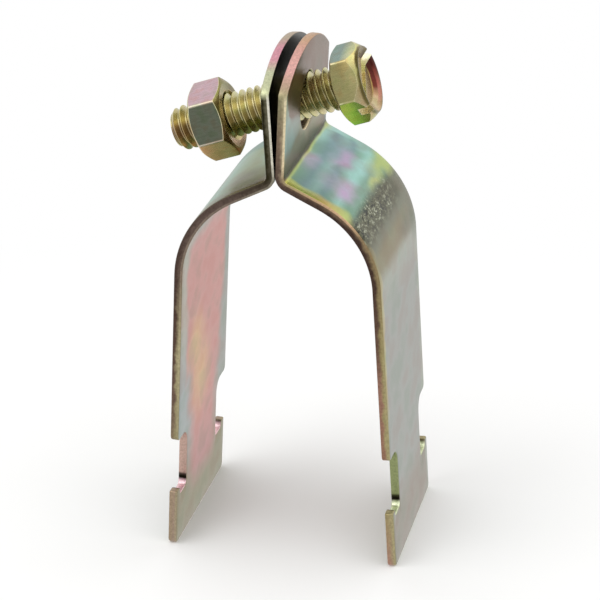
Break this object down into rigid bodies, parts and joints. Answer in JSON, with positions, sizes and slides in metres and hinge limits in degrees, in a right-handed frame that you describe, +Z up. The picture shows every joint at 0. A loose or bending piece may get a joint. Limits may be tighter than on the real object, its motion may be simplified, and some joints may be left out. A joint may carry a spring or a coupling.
{
  "type": "pipe strap",
  "caption": "Two-part steel pipe strap for strut channel: mirrored halves with hooked legs round a pipe, drawn together at their ears by a slotted hex head screw and nut.",
  "frame": {"origin": "centre of the pipe seat, halfway across the strip's width", "axes": "+Y along the pipe, +Z up from the channel towards the ears, +X towards the screw's head"},
  "size_m": [0.0434, 0.0318, 0.0914],
  "materials": {
    "strap_plate": "yellow chromated zinc with a rainbow sheen",
    "screw_plate": "yellow chromated zinc",
    "nut_plate": "yellow chromated zinc"
  },
  "bodies": {
    "strap_right": {"strap_right": "strap_plate"},
    "strap_left": {"strap_left": "strap_plate"},
    "screw": {"screw": "screw_plate"},
    "hex_nut": {"hex_nut": "nut_plate"}
  },
  "joints": [
    {"name": "jaw_swing", "type": "hinge", "parent": "strap_right", "child": "strap_left", "pos_m": [0, 0, 0.02042], "axis": [0, 1, 0], "range_deg": [-8, 5.9]},
    {"name": "screw_turn", "type": "hinge", "parent": "strap_right", "child": "screw", "pos_m": [0, 0, 0.02902], "axis": [-0.9489, 0, -0.3156], "range_deg": [-1080, 1800]},
    {"name": "nut_travel", "type": "slide", "parent": "strap_right", "child": "hex_nut", "axis": [0.9489, 0, 0.3156], "range_m": [-0.00424, 0.00707]}
  ],
  "couplings": [
    {"joint": "nut_travel", "follows": "screw_turn", "m_per_rad": 0.00022458}
  ]
}
